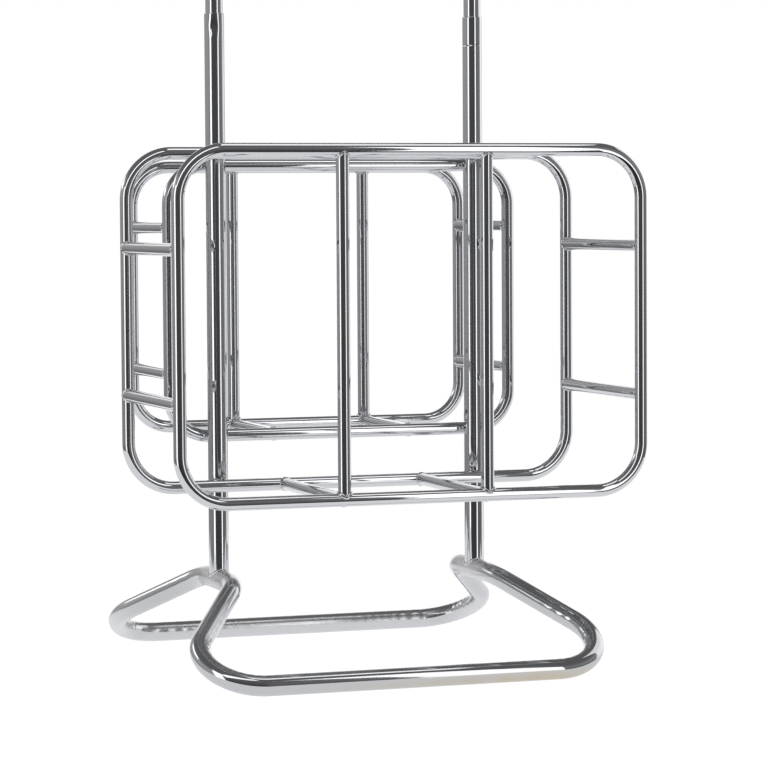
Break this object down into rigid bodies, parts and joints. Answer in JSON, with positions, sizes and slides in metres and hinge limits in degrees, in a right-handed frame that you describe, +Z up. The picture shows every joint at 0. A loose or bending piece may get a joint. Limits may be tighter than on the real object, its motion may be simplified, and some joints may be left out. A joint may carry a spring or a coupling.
{
  "type": "cabin baggage size gauge rack",
  "caption": "Free-standing chromed steel tube rack with a large open-topped front cage and a smaller rear cage for gauging hand luggage, on a bent-tube base, with a telescoping sign hoop.",
  "frame": {"origin": "on the floor, midway between the two posts and at the middle of the base loop", "axes": "+Z up, +X to the user's right, -Y towards the user, who faces the front cage"},
  "size_m": [0.6018, 0.54, 1.2],
  "materials": {
    "chrome_tube": "bright polished chrome plate on welded steel tube",
    "fastener": "plated steel screws and nuts, slightly duller than the tube",
    "sign_sheet": "plain pale sheet, satin"
  },
  "bodies": {
    "stand": {"base_loop": "chrome_tube", "post_left": "chrome_tube", "post_right": "chrome_tube", "front_inner_loop": "chrome_tube", "front_outer_loop": "chrome_tube", "front_bar_left": "chrome_tube", "front_floor_rung_left": "chrome_tube", "front_side_rung_left_lower": "chrome_tube", "front_side_rung_left_upper": "chrome_tube", "front_bar_right": "chrome_tube", "front_floor_rung_right": "chrome_tube", "front_side_rung_right_lower": "chrome_tube", "front_side_rung_right_upper": "chrome_tube", "rear_inner_loop": "chrome_tube", "rear_outer_loop": "chrome_tube", "rear_bar_left": "chrome_tube", "rear_floor_rung_left": "chrome_tube", "rear_side_rung_left_lower": "chrome_tube", "rear_side_rung_left_upper": "chrome_tube", "rear_bar_right": "chrome_tube", "rear_floor_rung_right": "chrome_tube", "rear_side_rung_right_lower": "chrome_tube", "rear_side_rung_right_upper": "chrome_tube"},
    "header": {"upper_hoop": "chrome_tube", "sign_lug_left_lower": "chrome_tube", "sign_lug_left_upper": "chrome_tube", "sign_lug_right_lower": "chrome_tube", "sign_lug_right_upper": "chrome_tube", "sign_panel": "sign_sheet", "sign_screw_left_lower": "fastener", "sign_screw_left_upper": "fastener", "sign_screw_right_lower": "fastener", "sign_screw_right_upper": "fastener", "sign_nut_left_lower": "fastener", "sign_nut_left_upper": "fastener", "sign_nut_right_lower": "fastener", "sign_nut_right_upper": "fastener"},
    "lock_screw_left": {"lock_screw_left": "fastener"},
    "lock_screw_right": {"lock_screw_right": "fastener"}
  },
  "joints": [
    {"name": "header_height", "type": "slide", "parent": "stand", "child": "header", "axis": [0, 0, 1], "range_m": [-0.08, 0.16]},
    {"name": "lock_screw_left_turn", "type": "hinge", "parent": "stand", "child": "lock_screw_left", "pos_m": [-0.172, 0.013, 0.803], "axis": [0, 1, 0], "range_deg": [0, 360]},
    {"name": "lock_screw_right_turn", "type": "hinge", "parent": "stand", "child": "lock_screw_right", "pos_m": [0.172, 0.013, 0.803], "axis": [0, 1, 0], "range_deg": [0, 360]}
  ]
}
